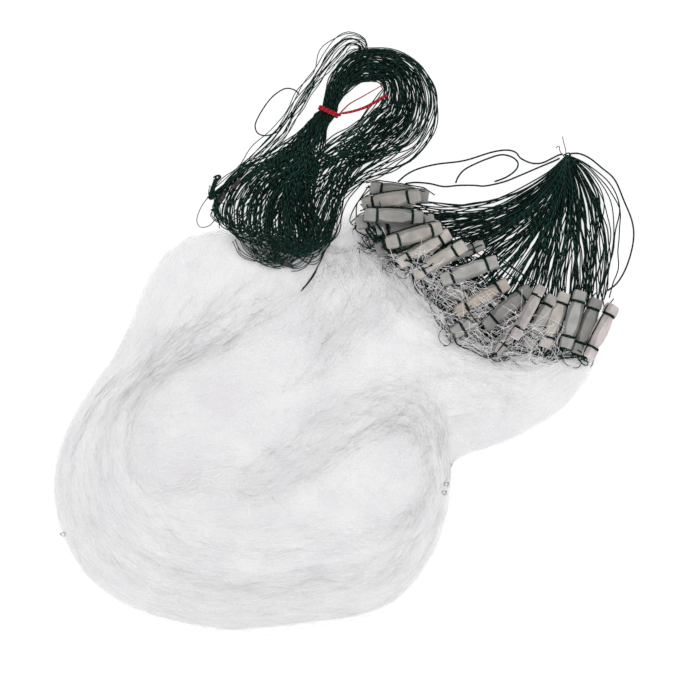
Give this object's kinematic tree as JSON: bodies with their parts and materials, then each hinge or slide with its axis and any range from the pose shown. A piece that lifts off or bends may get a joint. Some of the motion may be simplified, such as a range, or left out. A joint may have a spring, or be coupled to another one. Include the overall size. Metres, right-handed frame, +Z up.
{
  "type": "gill net put away",
  "caption": "Bunched gill net lying in a coil, its green lower line tied in a hank and its upper line fanned out to foam floats.",
  "frame": {"origin": "on the table under the middle of the net's box, measured without the loose ends of line", "axes": "+Z up; the hank lies towards +Y, the floats towards +X and +Y, the coil of netting towards -X and -Y"},
  "size_m": [0.4939, 0.5017, 0.0478],
  "materials": {
    "nylon_netting": "clear nylon monofilament, semi gloss, seen as a white haze",
    "green_line": "twisted dark green line, dull sheen",
    "grey_foam": "matt carved foam, grey",
    "beige_foam": "matt carved foam, beige",
    "brown_foam": "matt carved foam, brown",
    "pink_foam": "matt carved foam, faintly pink",
    "lead": "dull grey lead",
    "red_cord": "red thread, slight sheen"
  },
  "bodies": {
    "root": {"netting": "nylon_netting", "foot_line_hank": "green_line", "head_line_fan": "green_line", "float_01": "grey_foam", "float_02": "grey_foam", "float_03": "grey_foam", "float_04": "grey_foam", "float_05": "beige_foam", "float_06": "grey_foam", "float_07": "pink_foam", "float_08": "grey_foam", "float_09": "grey_foam", "float_10": "grey_foam", "float_11": "beige_foam", "float_12": "beige_foam", "float_13": "brown_foam", "float_14": "beige_foam", "float_15": "grey_foam", "float_16": "beige_foam", "float_17": "grey_foam", "float_18": "grey_foam", "float_19": "beige_foam", "float_20": "grey_foam", "float_21": "pink_foam", "float_22": "pink_foam", "sinker_1": "lead", "sinker_2": "lead", "sinker_3": "lead", "head_line_stray_1": "green_line", "head_line_stray_2": "green_line", "head_line_stray_3": "green_line", "head_line_stray_4": "green_line", "foot_line_loop": "green_line", "foot_line_end": "green_line", "tie_end_thick": "red_cord", "tie_end_thin": "red_cord", "tie_band": "red_cord"}
  },
  "joints": []
}
